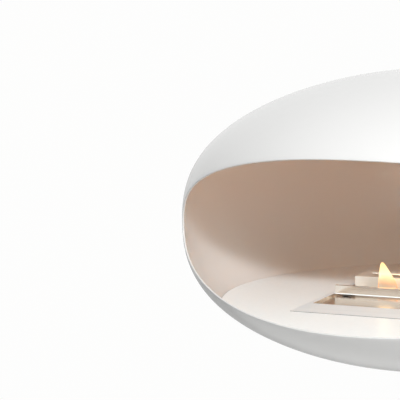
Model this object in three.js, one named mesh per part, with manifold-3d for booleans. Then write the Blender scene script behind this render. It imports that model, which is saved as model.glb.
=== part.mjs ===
// Hanging bioethanol fireplace: a spun steel pod with an oval mouth, hung from a ceiling bracket on a tube.
// Millimetres, +Z up. The origin is the centre of the bracket's top face, which lies against the ceiling.
// The mouth faces -Y. Everything below the swivel hub is placed from the pod's own centre.
import * as THREE from "three";
import { mergeVertices } from "three/addons/utils/BufferGeometryUtils.js";
import Module from "manifold-3d";

const wasm = await Module();
wasm.setup();

// ---- Driving dimensions -------------------------------------------------------------------------

const GAP = 0.3; // between pieces that touch
const SLIDE_GAP = 0.5; // between pieces that slide or turn in each other
const SPARE = 1; // how far a drill goes past what it cuts
const ROUND_SIDES = 48; // sides of a turned part
const DRILL_SIDES = 16; // sides of a drilled hole or a shank
const SMALL_SIDES = 12; // sides of the hub's small bolts and holes
const HEX_SIDES = 6;

// Pod: a body of revolution with the meridian (r / radius)^a + (|z| / half height)^b = 1.
const POD_RADIUS = 466;
const POD_HALF_HEIGHT = 282;
const POD_PLAN_POWER = 1.75;
const POD_RISE_POWER = 2.465;
const POD_WALL = 3;
const POD_SIDES = 80;
const POD_STEPS = 22;

// Mouth: the outline of the opening seen straight from the front.
const MOUTH_HALF_WIDTH = 405.5;
const MOUTH_HALF_HEIGHT = 153.4;
const MOUTH_POWER = 2.2;
const MOUTH_STEPS = 72;
const MOUTH_CUT_OUTWARD = 60; // how far the cutter reaches out of the wall
const MOUTH_CUT_INWARD = 20; // how far it reaches in from the outer skin

// Hearth deck: the flat white floor inside the pod, on a welded ring.
const DECK_TOP = -154;
const DECK_THICKNESS = 2;
const DECK_RING_WIDTH = 24;
const DECK_RING_THICKNESS = 3;

// Burner tray: folded stainless sheet with a bevelled frame, standing on the deck.
const SHEET = 1.5;
const TRAY_HALF_DEPTH = 218;
const BEVEL_WIDTH = 30.5;
const BEVEL_HEIGHT = 13;
const RIDGE_WIDTH = 1.5;
const PAN_DEPTH = 4;
const PAN_MARGIN = 9.4; // beside the burner plate

// Reservoir: the open fuel box under the fire slot, filled with ceramic fibre.
const RESERVOIR_INSET = 10; // from the burner plate's ends
const RESERVOIR_HALF_DEPTH = 66;
const RESERVOIR_DEPTH = 60;
const ABSORBER_HEIGHT = 43;
const WELL_CLEARANCE = 1;

// Burner plate: the stainless top of the burner, with the fire slot.
const PLATE_EDGE = 2.5; // beside the rails
const PLATE_FRONT_EDGE = 4; // in front of the slot
const PLATE_BACK_EDGE = 25; // behind the open lid
const PLATE_CORNER = 4;
const SLOT_HALF_WIDTH = 100;
const SLOT_DEPTH = 40;

// Guard bar: the channel across the tray in front of the flames.
const BAR_SETBACK = 13; // of the bar's face, from the slot
const BAR_DEPTH = 8;
const BAR_HEIGHT = 16.4;
const BAR_BACK_HEIGHT = 10;
const BAR_LIP = 1.5;
const BAR_FOOT_HEIGHT = 2;
const BAR_FOOT_WIDTH = 16;
const BAR_FOOT_INSET = 24;

// Snuffer lid: a folded cap that slides forward over the fire slot.
const LID_OVERHANG = 44; // beyond each end of the slot
const LID_SETBACK = 7; // of the open lid, behind the slot
const LID_OVERLAP = 40; // of its depth over the slot's
const LID_HEIGHT = 25.7;
const LID_CORNER = 3;
const RAIL_WIDTH = 5;
const RAIL_HEIGHT = 5;

// Lid handle: a flat strip on two posts, hooked by the tool that moves the lid.
const HANDLE_INSET = 32; // from the lid's ends
const HANDLE_WIDTH = 18;
const HANDLE_SETBACK = 8;
const HANDLE_THICKNESS = 2.8;
const HANDLE_LIFT = 5;
const POST_RADIUS = 4;
const POST_INSET = 14;

// Suspension tube.
const TUBE_RADIUS = 24.15;
const TUBE_WALL = 2.6;
const TUBE_LENGTH = 700;

// Ceiling bracket: a plate with a socket for the tube and four gussets.
const PLATE_RADIUS = 90;
const PLATE_THICKNESS = 8;
const ANCHOR_RADIUS = 5.5;
const ANCHOR_CIRCLE = 68;
const SOCKET_WALL = 4.5;
const SOCKET_LENGTH = 60;
const GUSSET_THICKNESS = 5;
const GUSSET_REACH = 22;
const GUSSET_DROP = 36;
const TUBE_HEAD_ROOM = 6; // between the tube's top and the plate
const CROSS_BOLT_RADIUS = 5;
const CROSS_BOLT_DROP = 50; // below the ceiling
const GUSSET_COUNT = 4;
const ANCHOR_COUNT = 4;

// Ceiling canopy: the spun cover over the bracket, held up by a set collar.
const CANOPY_RADIUS = 112;
const CANOPY_HEIGHT = 78;
const CANOPY_WALL = 1.5;
const CANOPY_STEPS = 8;
const CANOPY_SIDES = 56;
const CANOPY_CEILING_GAP = 1;
const COLLAR_WALL = 11.35;
const COLLAR_HEIGHT = 12;
const COLLAR_CHAMFER = 1.5;
const GRUB_RADIUS = 3;
const GRUB_SINK = 1;
const GRUB_KEY_DEPTH = 4;

// Swivel hub: the turned housing on top of the pod, resting on the foot of the tube.
const HUB_WALL = 4.5;
const HUB_HEIGHT = 38; // above the top of the pod
const HUB_LIP = 8;
const HUB_TAIL = 14; // below the top of the pod
const FLANGE_WIDTH = 14;
const FLANGE_THICKNESS = 5;
const FOOT_LEDGE = 8.35; // of the tube's foot, outside the tube
const FOOT_THICKNESS = 9;
const WASHER_THICKNESS = 3;
const BUSH_WALL = 4;
const BUSH_COLLAR = 4;
const BUSH_COLLAR_HEIGHT = 2.5;
const HUB_BOLT_COUNT = 4;
const HUB_BOLT_RADIUS = 3;
const BACKING_RADIUS = 112;
const BACKING_THICKNESS = 4;
const CROWN_STEPS = 4; // steps of the faces that follow the dome

// Bolt heads and nuts, as shares of the shank's radius.
const HEX_ACROSS_CORNERS = 1.85;
const HEX_HEAD_HEIGHT = 1.3;
const BOLT_HOLE_CLEARANCE = 0.4;

// ---- Places that follow from the sizes above ----------------------------------------------------

const TUBE_TOP = -PLATE_THICKNESS - TUBE_HEAD_ROOM;
const TUBE_BOTTOM = TUBE_TOP - TUBE_LENGTH;
const FOOT_TOP = TUBE_BOTTOM - GAP;
const HUB_LIP_UNDERSIDE = FOOT_TOP + WASHER_THICKNESS + 2 * GAP;
const POD_TOP = HUB_LIP_UNDERSIDE + HUB_LIP - HUB_HEIGHT;
const POD_CENTRE = POD_TOP - POD_HALF_HEIGHT;

const LID_HALF_WIDTH = SLOT_HALF_WIDTH + LID_OVERHANG;
const PLATE_HALF_WIDTH = LID_HALF_WIDTH + SLIDE_GAP + RAIL_WIDTH + PLATE_EDGE;
const RESERVOIR_HALF_WIDTH = PLATE_HALF_WIDTH - RESERVOIR_INSET;
const HANDLE_HALF_LENGTH = LID_HALF_WIDTH - HANDLE_INSET;
const SLOT_FRONT = -RESERVOIR_HALF_DEPTH;
const PLATE_FRONT = SLOT_FRONT - PLATE_FRONT_EDGE;
const BAR_FACE = SLOT_FRONT - BAR_SETBACK;
const LID_FACE = SLOT_FRONT + SLOT_DEPTH + LID_SETBACK;
const LID_DEPTH = SLOT_DEPTH + LID_OVERLAP;
const PLATE_BACK = LID_FACE + LID_DEPTH + PLATE_BACK_EDGE;
const RIDGE_INSET = BEVEL_WIDTH + RIDGE_WIDTH;
const TRAY_HALF_WIDTH = PLATE_HALF_WIDTH + PAN_MARGIN + RIDGE_INSET;
const PAN_HALF_WIDTH = TRAY_HALF_WIDTH - RIDGE_INSET;
const PAN_HALF_DEPTH = TRAY_HALF_DEPTH - RIDGE_INSET;
const PAN_FLOOR = DECK_TOP + BEVEL_HEIGHT - PAN_DEPTH;
const WELL_HALF_WIDTH = RESERVOIR_HALF_WIDTH + WELL_CLEARANCE;
const WELL_HALF_DEPTH = RESERVOIR_HALF_DEPTH + WELL_CLEARANCE;
const PLATE_UNDERSIDE = PAN_FLOOR + GAP;
const PLATE_TOP = PLATE_UNDERSIDE + SHEET;
const RESERVOIR_TOP = PLATE_UNDERSIDE - GAP;
const RESERVOIR_FLOOR = RESERVOIR_TOP - RESERVOIR_DEPTH + SHEET;
const BAR_BOTTOM = PAN_FLOOR + BAR_FOOT_HEIGHT + 2 * GAP;
const LID_BOTTOM = PLATE_TOP + GAP;
const LID_TOP = LID_BOTTOM + LID_HEIGHT;
const HANDLE_BOTTOM = LID_TOP + HANDLE_LIFT;
const HANDLE_FRONT = LID_FACE + HANDLE_SETBACK;
const FOOT_RADIUS = TUBE_RADIUS + FOOT_LEDGE;
const HUB_RADIUS = FOOT_RADIUS + 2 * SLIDE_GAP + HUB_WALL;
const FLANGE_RADIUS = HUB_RADIUS + FLANGE_WIDTH;
const HUB_BOLT_CIRCLE = HUB_RADIUS + FLANGE_WIDTH / 2;
const COLLAR_RADIUS = TUBE_RADIUS + SLIDE_GAP + COLLAR_WALL;
const SOCKET_BORE = TUBE_RADIUS + GAP;
const SOCKET_RADIUS = SOCKET_BORE + SOCKET_WALL;
const BUSH_BORE = TUBE_RADIUS + SLIDE_GAP;
const BUSH_RADIUS = BUSH_BORE + BUSH_WALL;

// ---- Materials ----------------------------------------------------------------------------------

const material = (color, roughness, metalness) =>
  new THREE.MeshStandardMaterial({ color, roughness, metalness });
const whiteLacquer = material(0xf2f2ef, 0.3, 0);
const stainless = material(0xc4c0ba, 0.32, 1);
const darkSteel = material(0x5c5c5e, 0.45, 1);
const bronze = material(0xa9824d, 0.4, 1);
const nylon = material(0xd8d6cf, 0.6, 0);
const ceramicFibre = material(0xe9e4d8, 0.95, 0);

// ---- Solids: closed geometries, cut and joined ---------------------------------------------------

// A closed geometry with shared corners and no flat triangles, as a solid that can be cut.
function solid(geometry) {
  const bare = geometry.clone();
  bare.deleteAttribute("normal");
  bare.deleteAttribute("uv");
  const merged = mergeVertices(bare, 1e-4);
  const corners = Array.from(merged.index.array);
  const kept = [];
  for (let i = 0; i < corners.length; i += 3) {
    const [a, b, c] = corners.slice(i, i + 3);
    if (a !== b && b !== c && c !== a) {
      kept.push(a, b, c);
    }
  }
  return new wasm.Manifold(
    new wasm.Mesh({
      numProp: 3,
      vertProperties: new Float32Array(merged.attributes.position.array),
      triVerts: new Uint32Array(kept),
    }),
  );
}

function geometryOf(body) {
  const mesh = body.getMesh();
  const geometry = new THREE.BufferGeometry();
  geometry.setAttribute("position", new THREE.BufferAttribute(mesh.vertProperties, 3));
  geometry.setIndex(new THREE.BufferAttribute(mesh.triVerts, 1));
  geometry.computeVertexNormals();
  return geometry;
}

function cut(base, ...tools) {
  return geometryOf(tools.reduce((left, tool) => left.subtract(solid(tool)), solid(base)));
}

function join(base, ...others) {
  return geometryOf(others.reduce((sum, other) => sum.add(solid(other)), solid(base)));
}

// A box between two corners.
function box(low, high) {
  const size = high.map((value, i) => value - low[i]);
  const middle = high.map((value, i) => (value + low[i]) / 2);
  return new THREE.BoxGeometry(...size).translate(...middle);
}

// A turned part from its [radius, height] profile.
function turned(profile, sides = ROUND_SIDES) {
  const points = profile.map(([radius, height]) => new THREE.Vector2(radius, height));
  return geometryOf(solid(new THREE.LatheGeometry(points, sides).rotateX(Math.PI / 2)));
}

// A ring of rectangular section.
function ring(inner, outer, bottom, top, sides = ROUND_SIDES) {
  const profile = [
    [inner, bottom],
    [outer, bottom],
    [outer, top],
    [inner, top],
    [inner, bottom],
  ];
  return turned(profile, sides);
}

// A cylinder along Z from a bottom to a top height.
function rod(radius, bottom, top, sides = DRILL_SIDES) {
  const length = top - bottom;
  return new THREE.CylinderGeometry(radius, radius, length, sides)
    .rotateX(Math.PI / 2)
    .translate(0, 0, bottom + length / 2);
}

// A rectangle in plan with rounded corners.
function plate(low, high, corner) {
  const [x0, y0] = low;
  const [x1, y1] = high;
  const shape = new THREE.Shape();
  shape.absarc(x1 - corner, y1 - corner, corner, 0, Math.PI / 2);
  shape.absarc(x0 + corner, y1 - corner, corner, Math.PI / 2, Math.PI);
  shape.absarc(x0 + corner, y0 + corner, corner, Math.PI, 1.5 * Math.PI);
  shape.absarc(x1 - corner, y0 + corner, corner, 1.5 * Math.PI, 2 * Math.PI);
  return shape;
}

function extruded(shape, bottom, thickness, curveSegments = 4) {
  const options = { depth: thickness, bevelEnabled: false, curveSegments };
  return new THREE.ExtrudeGeometry(shape, options).translate(0, 0, bottom);
}

// A profile of [inset, height] points carried round a rectangle, with mitred corners.
function mitredFrame(profile, halfWidth, halfDepth) {
  const positions = [];
  const indices = [];
  const signs = [[-1, -1], [1, -1], [1, 1], [-1, 1]];
  for (const [inset, height] of profile) {
    for (const [sx, sy] of signs) {
      positions.push(sx * (halfWidth - inset), sy * (halfDepth - inset), height);
    }
  }
  const count = profile.length;
  for (let i = 0; i < count; i++) {
    const next = (i + 1) % count;
    for (let side = 0; side < 4; side++) {
      const a = i * 4 + side;
      const b = i * 4 + ((side + 1) % 4);
      const c = next * 4 + ((side + 1) % 4);
      const d = next * 4 + side;
      indices.push(a, b, c, a, c, d);
    }
  }
  const geometry = new THREE.BufferGeometry();
  geometry.setAttribute("position", new THREE.Float32BufferAttribute(positions, 3));
  geometry.setIndex(indices);
  return geometry;
}

function piece(name, geometry, look) {
  const mesh = new THREE.Mesh(geometry, look);
  mesh.name = name;
  return mesh;
}

// ---- Pod ----------------------------------------------------------------------------------------

// A point of the pod's meridian, moved inwards along its normal. The angle runs from pole to pole.
function meridianPoint(angle, inwards) {
  const rise = Math.abs(Math.sin(angle)) ** (2 / POD_RISE_POWER) * Math.sign(angle);
  const spread = Math.max(Math.cos(angle), 0) ** (2 / POD_PLAN_POWER);
  const slopeR = (POD_PLAN_POWER * spread ** (POD_PLAN_POWER - 1)) / POD_RADIUS;
  const slopeZ = (POD_RISE_POWER * Math.abs(rise) ** (POD_RISE_POWER - 1)) / POD_HALF_HEIGHT;
  const length = Math.hypot(slopeR, slopeZ);
  return [
    POD_RADIUS * spread - (inwards * slopeR) / length,
    POD_HALF_HEIGHT * rise - (inwards * slopeZ * Math.sign(rise)) / length,
  ];
}

// The points of the pod's wall from the lower pole to the upper one, on the skin that lies inwards.
function meridian(inwards) {
  const line = [];
  for (let i = 0; i <= POD_STEPS; i++) {
    const [radius, height] = meridianPoint(-Math.PI / 2 + (Math.PI * i) / POD_STEPS, inwards);
    line.push([i % POD_STEPS === 0 ? 0 : radius, height]);
  }
  return line;
}

// The value at a place along a line of points, which runs upwards in the column looked up.
function lookUp(line, column, value) {
  const i = line.findIndex((point) => point[column] > value);
  const before = line[i - 1];
  const after = line[i];
  const share = (value - before[column]) / (after[column] - before[column]);
  return before[1 - column] + (after[1 - column] - before[1 - column]) * share;
}

// Radius of a part that fits inside the pod's wall at a height.
function podRadiusAt(height) {
  return lookUp(meridian(POD_WALL), 1, height) - GAP;
}

// Height of the pod's crown at a radius.
function crownHeight(radius, inwards) {
  const fromTop = meridian(inwards).reverse();
  return lookUp(fromTop, 0, radius);
}

// The solid inside one skin of the pod.
function podSkin(inwards) {
  return turned(meridian(inwards), POD_SIDES);
}

// A point of the mouth's outline on the outer skin, and the skin's normal there.
function mouthPoint(angle) {
  const across = Math.cos(angle);
  const up = Math.sin(angle);
  const x = MOUTH_HALF_WIDTH * Math.sign(across) * Math.abs(across) ** (2 / MOUTH_POWER);
  const z = MOUTH_HALF_HEIGHT * Math.sign(up) * Math.abs(up) ** (2 / MOUTH_POWER);
  const rise = Math.abs(z) / POD_HALF_HEIGHT;
  const radius = POD_RADIUS * (1 - rise ** POD_RISE_POWER) ** (1 / POD_PLAN_POWER);
  const y = -Math.sqrt(radius ** 2 - x ** 2);
  const slopeR = (POD_PLAN_POWER * (radius / POD_RADIUS) ** (POD_PLAN_POWER - 1)) / POD_RADIUS;
  const slopeZ = (POD_RISE_POWER * rise ** (POD_RISE_POWER - 1)) / POD_HALF_HEIGHT;
  const normal = new THREE.Vector3(
    (slopeR * x) / radius,
    (slopeR * y) / radius,
    slopeZ * Math.sign(z),
  ).normalize();
  return [new THREE.Vector3(x, y, z), normal];
}

// The cutter that leaves the mouth, with sides square to the wall all the way round.
function mouthCutter() {
  const outward = MOUTH_CUT_OUTWARD;
  const inward = -MOUTH_CUT_INWARD;
  const positions = [0, -POD_RADIUS - 2 * outward, 0, 0, -POD_RADIUS / 2, 0];
  const indices = [];
  for (let i = 0; i < MOUTH_STEPS; i++) {
    const [place, normal] = mouthPoint((2 * Math.PI * i) / MOUTH_STEPS);
    const outer = place.clone().addScaledVector(normal, outward);
    const inner = place.clone().addScaledVector(normal, inward);
    positions.push(outer.x, outer.y, outer.z, inner.x, inner.y, inner.z);
    const here = 2 + 2 * i;
    const next = 2 + 2 * ((i + 1) % MOUTH_STEPS);
    indices.push(0, here, next);
    indices.push(here, here + 1, next + 1, here, next + 1, next);
    indices.push(1, next + 1, here + 1);
  }
  const geometry = new THREE.BufferGeometry();
  geometry.setAttribute("position", new THREE.Float32BufferAttribute(positions, 3));
  geometry.setIndex(indices);
  return geometry;
}

function hubBoltPlaces() {
  const places = [];
  for (let i = 0; i < HUB_BOLT_COUNT; i++) {
    const angle = Math.PI / HUB_BOLT_COUNT + (2 * Math.PI * i) / HUB_BOLT_COUNT;
    places.push([HUB_BOLT_CIRCLE * Math.cos(angle), HUB_BOLT_CIRCLE * Math.sin(angle)]);
  }
  return places;
}

// One long rod per hub bolt, for drilling what the bolts pass through.
function hubBoltDrills() {
  const radius = HUB_BOLT_RADIUS + BOLT_HOLE_CLEARANCE;
  const bottom = POD_HALF_HEIGHT / 2;
  const top = POD_HALF_HEIGHT + HUB_HEIGHT;
  return hubBoltPlaces().map(([x, y]) => rod(radius, bottom, top, SMALL_SIDES).translate(x, y, 0));
}

function podShell() {
  const neck = rod(HUB_RADIUS + GAP, POD_HALF_HEIGHT / 2, 2 * POD_HALF_HEIGHT, ROUND_SIDES);
  const shape = cut(podSkin(0), podSkin(POD_WALL), mouthCutter(), neck, ...hubBoltDrills());
  return piece("pod_shell", shape, whiteLacquer);
}

function hearthDeck() {
  const shape = new THREE.Shape();
  shape.absarc(0, 0, podRadiusAt(DECK_TOP - DECK_THICKNESS), 0, 2 * Math.PI);
  const wellGap = 3 * WELL_CLEARANCE;
  const hole = plate(
    [-WELL_HALF_WIDTH - wellGap, -WELL_HALF_DEPTH - wellGap],
    [WELL_HALF_WIDTH + wellGap, WELL_HALF_DEPTH + wellGap],
    PLATE_CORNER,
  );
  const disc = extruded(shape, DECK_TOP - DECK_THICKNESS, DECK_THICKNESS, POD_SIDES / 2);
  const well = extruded(hole, DECK_TOP - 2 * DECK_THICKNESS, 3 * DECK_THICKNESS);
  return piece("hearth_deck", cut(disc, well), whiteLacquer);
}

// The ring under the deck, its outer edge sloped to the pod's wall that it is welded to.
function deckRing() {
  const top = DECK_TOP - DECK_THICKNESS - GAP;
  const bottom = top - DECK_RING_THICKNESS;
  const inner = podRadiusAt(bottom) - DECK_RING_WIDTH;
  const profile = [
    [inner, bottom],
    [podRadiusAt(bottom), bottom],
    [podRadiusAt(top), top],
    [inner, top],
    [inner, bottom],
  ];
  return piece("deck_ring", turned(profile, POD_SIDES), darkSteel);
}

// ---- Swivel -------------------------------------------------------------------------------------

// The points of a crown surface between two radii, for parts that lie on or under the dome.
function crownLine(innerRadius, outerRadius, inwards, lift) {
  const line = [];
  for (let i = 0; i <= CROWN_STEPS; i++) {
    const radius = innerRadius + ((outerRadius - innerRadius) * i) / CROWN_STEPS;
    line.push([radius, crownHeight(radius, inwards) + lift]);
  }
  return line;
}

// A cup with a thick lip at the top, a tail through the dome and a flange that is bolted to it.
function swivelHub() {
  const top = POD_HALF_HEIGHT + HUB_HEIGHT;
  const cavity = FOOT_RADIUS + 2 * SLIDE_GAP;
  const tail = POD_HALF_HEIGHT - HUB_TAIL;
  const flangeTop = POD_HALF_HEIGHT + FLANGE_THICKNESS;
  const chamfer = HUB_LIP / 4;
  const profile = [
    [cavity, tail],
    [HUB_RADIUS, tail],
    ...crownLine(HUB_RADIUS, FLANGE_RADIUS, 0, GAP),
    [FLANGE_RADIUS, flangeTop - chamfer],
    [FLANGE_RADIUS - chamfer, flangeTop],
    [HUB_RADIUS, flangeTop],
    [HUB_RADIUS, top - chamfer],
    [HUB_RADIUS - chamfer, top],
    [BUSH_RADIUS + GAP, top],
    [BUSH_RADIUS + GAP, top - HUB_LIP],
    [cavity, top - HUB_LIP],
    [cavity, tail],
  ];
  return piece("swivel_hub", cut(turned(profile), ...hubBoltDrills()), stainless);
}

// The flanged sleeve between the tube and the hub's lip.
function guideBush() {
  const top = POD_HALF_HEIGHT + HUB_HEIGHT + GAP;
  const profile = [
    [BUSH_BORE, top - HUB_LIP],
    [BUSH_RADIUS, top - HUB_LIP],
    [BUSH_RADIUS, top],
    [BUSH_RADIUS + BUSH_COLLAR, top],
    [BUSH_RADIUS + BUSH_COLLAR, top + BUSH_COLLAR_HEIGHT],
    [BUSH_BORE, top + BUSH_COLLAR_HEIGHT],
    [BUSH_BORE, top - HUB_LIP],
  ];
  return piece("guide_bush", turned(profile), nylon);
}

// The top line of the backing plate, under the dome.
function backingLine() {
  return crownLine(HUB_RADIUS + GAP, BACKING_RADIUS, POD_WALL, -2 * GAP);
}

// The dished plate that spreads the pod's weight inside the dome.
function backingPlate() {
  const upper = backingLine();
  const lower = upper.map(([radius, height]) => [radius, height - BACKING_THICKNESS]);
  const profile = [...lower, ...upper.reverse(), lower[0]];
  return piece("backing_plate", cut(turned(profile), ...hubBoltDrills()), darkSteel);
}

function hexPrism(shankRadius, bottom, top) {
  return rod(shankRadius * HEX_ACROSS_CORNERS, bottom, top, HEX_SIDES);
}

// A bolt from the flange's top to just past its nut, and the nut under the backing plate.
function hubBolts() {
  const flangeTop = POD_HALF_HEIGHT + FLANGE_THICKNESS;
  const headHeight = HUB_BOLT_RADIUS * HEX_HEAD_HEIGHT;
  const nutReach = HUB_BOLT_CIRCLE + HUB_BOLT_RADIUS * HEX_ACROSS_CORNERS;
  const nutTop = lookUp(backingLine(), 0, nutReach) - BACKING_THICKNESS - GAP;
  const nutBottom = nutTop - 1.5 * headHeight;
  const shankBottom = nutBottom - headHeight / 2;
  const parts = [];
  hubBoltPlaces().forEach(([x, y], i) => {
    const shank = rod(HUB_BOLT_RADIUS, shankBottom, flangeTop + GAP + headHeight / 2, SMALL_SIDES);
    const head = hexPrism(HUB_BOLT_RADIUS, flangeTop + GAP, flangeTop + GAP + headHeight);
    const bolt = piece(`hub_bolt_${i + 1}`, join(head, shank), stainless);
    bolt.position.set(x, y, 0);
    const nutSolid = hexPrism(HUB_BOLT_RADIUS, nutBottom, nutTop);
    const bore = rod(HUB_BOLT_RADIUS + GAP, nutBottom - GAP, nutTop + GAP, SMALL_SIDES);
    const nut = piece(`hub_nut_${i + 1}`, cut(nutSolid, bore), stainless);
    nut.position.set(x, y, 0);
    parts.push(bolt, nut);
  });
  return parts;
}

// ---- Burner -------------------------------------------------------------------------------------

// The tray: a bevelled frame that rises to a ridge and folds down to a shallow pan with a well.
function burnerTray() {
  const foot = DECK_TOP + GAP;
  const ridge = DECK_TOP + BEVEL_HEIGHT;
  const slope = BEVEL_HEIGHT / BEVEL_WIDTH;
  const underInset = SHEET / slope;
  const profile = [
    [0, foot],
    [0, foot + GAP],
    [BEVEL_WIDTH, ridge],
    [RIDGE_INSET, ridge],
    [RIDGE_INSET, PAN_FLOOR],
    [RIDGE_INSET + 2 * SHEET, PAN_FLOOR],
    [RIDGE_INSET + 2 * SHEET, PAN_FLOOR - SHEET],
    [BEVEL_WIDTH, PAN_FLOOR - SHEET],
    [BEVEL_WIDTH, ridge - SHEET],
    [underInset, foot],
  ];
  const frame = mitredFrame(profile, TRAY_HALF_WIDTH, TRAY_HALF_DEPTH);
  const edge = [PAN_HALF_WIDTH - SHEET, PAN_HALF_DEPTH - SHEET];
  const floor = box([-edge[0], -edge[1], PAN_FLOOR - SHEET], [edge[0], edge[1], PAN_FLOOR]);
  const collarHalfWidth = WELL_HALF_WIDTH + SHEET;
  const collarHalfDepth = WELL_HALF_DEPTH + SHEET;
  const collar = box(
    [-collarHalfWidth, -collarHalfDepth, foot],
    [collarHalfWidth, collarHalfDepth, PAN_FLOOR],
  );
  const well = box(
    [-WELL_HALF_WIDTH, -WELL_HALF_DEPTH, foot - SHEET],
    [WELL_HALF_WIDTH, WELL_HALF_DEPTH, PAN_FLOOR + SHEET],
  );
  const whole = solid(frame).add(solid(floor)).add(solid(collar)).subtract(solid(well));
  return piece("burner_tray", geometryOf(whole), stainless);
}

// The burner's flat top with the fire slot.
function burnerPlate() {
  const outline = plate([-PLATE_HALF_WIDTH, PLATE_FRONT], [PLATE_HALF_WIDTH, PLATE_BACK], PLATE_CORNER);
  const slot = plate(
    [-SLOT_HALF_WIDTH, SLOT_FRONT],
    [SLOT_HALF_WIDTH, SLOT_FRONT + SLOT_DEPTH],
    PLATE_CORNER,
  );
  const top = extruded(outline, PLATE_UNDERSIDE, SHEET);
  const opening = extruded(slot, PLATE_UNDERSIDE - SHEET, 3 * SHEET);
  return piece("burner_plate", cut(top, opening), stainless);
}

function fuelReservoir() {
  const outer = box(
    [-RESERVOIR_HALF_WIDTH, -RESERVOIR_HALF_DEPTH, RESERVOIR_TOP - RESERVOIR_DEPTH],
    [RESERVOIR_HALF_WIDTH, RESERVOIR_HALF_DEPTH, RESERVOIR_TOP],
  );
  const inside = box(
    [-RESERVOIR_HALF_WIDTH + SHEET, -RESERVOIR_HALF_DEPTH + SHEET, RESERVOIR_FLOOR],
    [RESERVOIR_HALF_WIDTH - SHEET, RESERVOIR_HALF_DEPTH - SHEET, RESERVOIR_TOP + SHEET],
  );
  return piece("fuel_reservoir", cut(outer, inside), stainless);
}

function ceramicAbsorber() {
  const halfWidth = RESERVOIR_HALF_WIDTH - SHEET - GAP;
  const halfDepth = RESERVOIR_HALF_DEPTH - SHEET - GAP;
  const bottom = RESERVOIR_FLOOR + GAP;
  const shape = box([-halfWidth, -halfDepth, bottom], [halfWidth, halfDepth, bottom + ABSORBER_HEIGHT]);
  return piece("ceramic_absorber", shape, ceramicFibre);
}

// The guard bar: a channel with a tall front, a low back and a lip turned out along its lower edge.
function guardBar() {
  const top = BAR_BOTTOM + BAR_HEIGHT;
  const back = BAR_FACE + BAR_DEPTH;
  const section = new THREE.Shape();
  section.moveTo(BAR_FACE, BAR_BOTTOM + BAR_LIP);
  section.lineTo(BAR_FACE - BAR_LIP, BAR_BOTTOM);
  section.lineTo(BAR_FACE + SHEET, BAR_BOTTOM);
  section.lineTo(BAR_FACE + SHEET, top - SHEET);
  section.lineTo(back - SHEET, top - SHEET);
  section.lineTo(back - SHEET, top - BAR_BACK_HEIGHT);
  section.lineTo(back, top - BAR_BACK_HEIGHT);
  section.lineTo(back, top);
  section.lineTo(BAR_FACE, top);
  section.closePath();
  const halfLength = PAN_HALF_WIDTH - 2 * GAP;
  const shape = extruded(section, -halfLength, 2 * halfLength)
    .rotateZ(Math.PI / 2)
    .rotateY(Math.PI / 2);
  return piece("guard_bar", shape, stainless);
}

function guardFeet() {
  const halfLength = PAN_HALF_WIDTH - BAR_FOOT_INSET;
  return [-1, 1].map((side) => {
    const foot = box(
      [-BAR_FOOT_WIDTH / 2, BAR_FACE, PAN_FLOOR + GAP],
      [BAR_FOOT_WIDTH / 2, BAR_FACE + BAR_DEPTH, PAN_FLOOR + GAP + BAR_FOOT_HEIGHT],
    );
    const mesh = piece(side < 0 ? "guard_foot_left" : "guard_foot_right", foot, darkSteel);
    mesh.position.x = side * halfLength;
    return mesh;
  });
}

// The lid: a folded cap, open below, with rounded upright corners.
function snufferLid() {
  const outline = plate([-LID_HALF_WIDTH, LID_FACE], [LID_HALF_WIDTH, LID_FACE + LID_DEPTH], LID_CORNER);
  const inside = plate(
    [-LID_HALF_WIDTH + SHEET, LID_FACE + SHEET],
    [LID_HALF_WIDTH - SHEET, LID_FACE + LID_DEPTH - SHEET],
    LID_CORNER - SHEET,
  );
  const outer = extruded(outline, LID_BOTTOM, LID_HEIGHT);
  const hollow = extruded(inside, LID_BOTTOM - SHEET, LID_HEIGHT);
  return piece("snuffer_lid", cut(outer, hollow), stainless);
}

// The low rails that guide the lid's sides.
function lidRails() {
  const inner = LID_HALF_WIDTH + SLIDE_GAP;
  return [-1, 1].map((side) => {
    const x0 = side < 0 ? -inner - RAIL_WIDTH : inner;
    const upright = box(
      [x0, PLATE_FRONT + PLATE_CORNER, PLATE_TOP + GAP],
      [x0 + RAIL_WIDTH, PLATE_BACK - PLATE_CORNER, PLATE_TOP + GAP + RAIL_HEIGHT],
    );
    return piece(side < 0 ? "lid_rail_left" : "lid_rail_right", upright, stainless);
  });
}

function lidHandle() {
  const outline = plate(
    [-HANDLE_HALF_LENGTH, HANDLE_FRONT],
    [HANDLE_HALF_LENGTH, HANDLE_FRONT + HANDLE_WIDTH],
    HANDLE_WIDTH / 3,
  );
  const strip = extruded(outline, HANDLE_BOTTOM, HANDLE_THICKNESS);
  const posts = [-1, 1].map((side) => {
    const post = rod(POST_RADIUS, LID_TOP + GAP, HANDLE_BOTTOM - GAP);
    const mesh = piece(side < 0 ? "handle_post_left" : "handle_post_right", post, stainless);
    mesh.position.set(side * (HANDLE_HALF_LENGTH - POST_INSET), HANDLE_FRONT + HANDLE_WIDTH / 2, 0);
    return mesh;
  });
  return [piece("lid_handle", strip, stainless), ...posts];
}

// ---- Mast and ceiling fitting -------------------------------------------------------------------

// A drill along X for the bolt that pins the tube in its socket.
function crossDrill(radius) {
  const reach = 2 * SOCKET_RADIUS;
  return rod(radius, -reach, reach).rotateY(Math.PI / 2).translate(0, 0, -CROSS_BOLT_DROP);
}

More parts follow.
